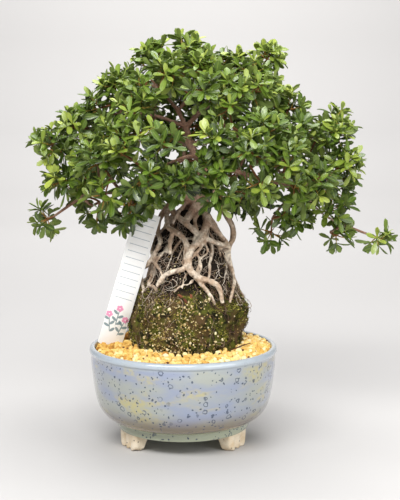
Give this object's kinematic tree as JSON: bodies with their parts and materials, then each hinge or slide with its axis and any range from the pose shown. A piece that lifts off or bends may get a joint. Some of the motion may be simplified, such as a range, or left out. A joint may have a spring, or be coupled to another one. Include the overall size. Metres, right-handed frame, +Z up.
{
  "type": "satsuki azalea bonsai",
  "caption": "Small broad-crowned azalea trained over a mossy root ball with exposed roots, standing in a round glazed footed pot with top gravel and a blank plant marker.",
  "frame": {"origin": "on the surface it stands on, under the middle of the tree's spread; the pot's axis stands at x = -0.0289 m, y = -0.0118 m", "axes": "+Z up along the trunk, -Y towards the front of the tree, +X to the right seen from the front"},
  "size_m": [0.366, 0.2666, 0.4156],
  "materials": {
    "glaze": "glossy lavender-blue glaze with cream patches and small dark blue specks and rings",
    "mesh": "matt black moulded mesh",
    "soil": "damp granular potting soil",
    "moss_and_roots": "dark green-brown moss with pale grit and fine roots",
    "gravel": "dry golden-yellow granules",
    "bark": "smooth grey-brown bark, redder towards the crown",
    "label_plastic": "white plastic, lightly weathered",
    "leaf": "semi-gloss mature leaf",
    "leaf_young": "semi-gloss young leaf"
  },
  "bodies": {
    "root": {"pot": "glaze", "drain_mesh": "mesh", "potting_soil": "soil", "root_ball": "moss_and_roots", "top_gravel": "gravel", "trunk": "bark", "label": "label_plastic", "spray_01": "leaf", "spray_02": "leaf", "spray_03": "leaf", "spray_04": "leaf_young", "spray_05": "leaf_young", "spray_06": "leaf_young", "spray_07": "leaf_young", "spray_08": "leaf_young", "spray_09": "leaf_young", "spray_10": "leaf_young", "spray_11": "leaf", "spray_12": "leaf", "spray_13": "leaf", "spray_14": "leaf", "spray_15": "leaf", "spray_16": "leaf", "spray_17": "leaf", "spray_18": "leaf", "spray_19": "leaf", "spray_20": "leaf", "spray_21": "leaf", "spray_22": "leaf", "spray_23": "leaf", "spray_24": "leaf", "spray_25": "leaf", "spray_26": "leaf", "spray_27": "leaf", "spray_28": "leaf", "spray_29": "leaf", "spray_30": "leaf", "spray_31": "leaf", "spray_32": "leaf", "spray_33": "leaf", "spray_34": "leaf", "spray_35": "leaf", "spray_36": "leaf", "spray_37": "leaf", "spray_38": "leaf", "spray_39": "leaf", "spray_40": "leaf_young", "spray_41": "leaf_young", "spray_42": "leaf_young", "spray_43": "leaf_young", "spray_44": "leaf", "spray_45": "leaf_young", "spray_46": "leaf_young", "spray_47": "leaf", "spray_48": "leaf", "spray_49": "leaf", "spray_50": "leaf", "spray_51": "leaf", "spray_52": "leaf", "spray_53": "leaf_young"}
  },
  "joints": []
}
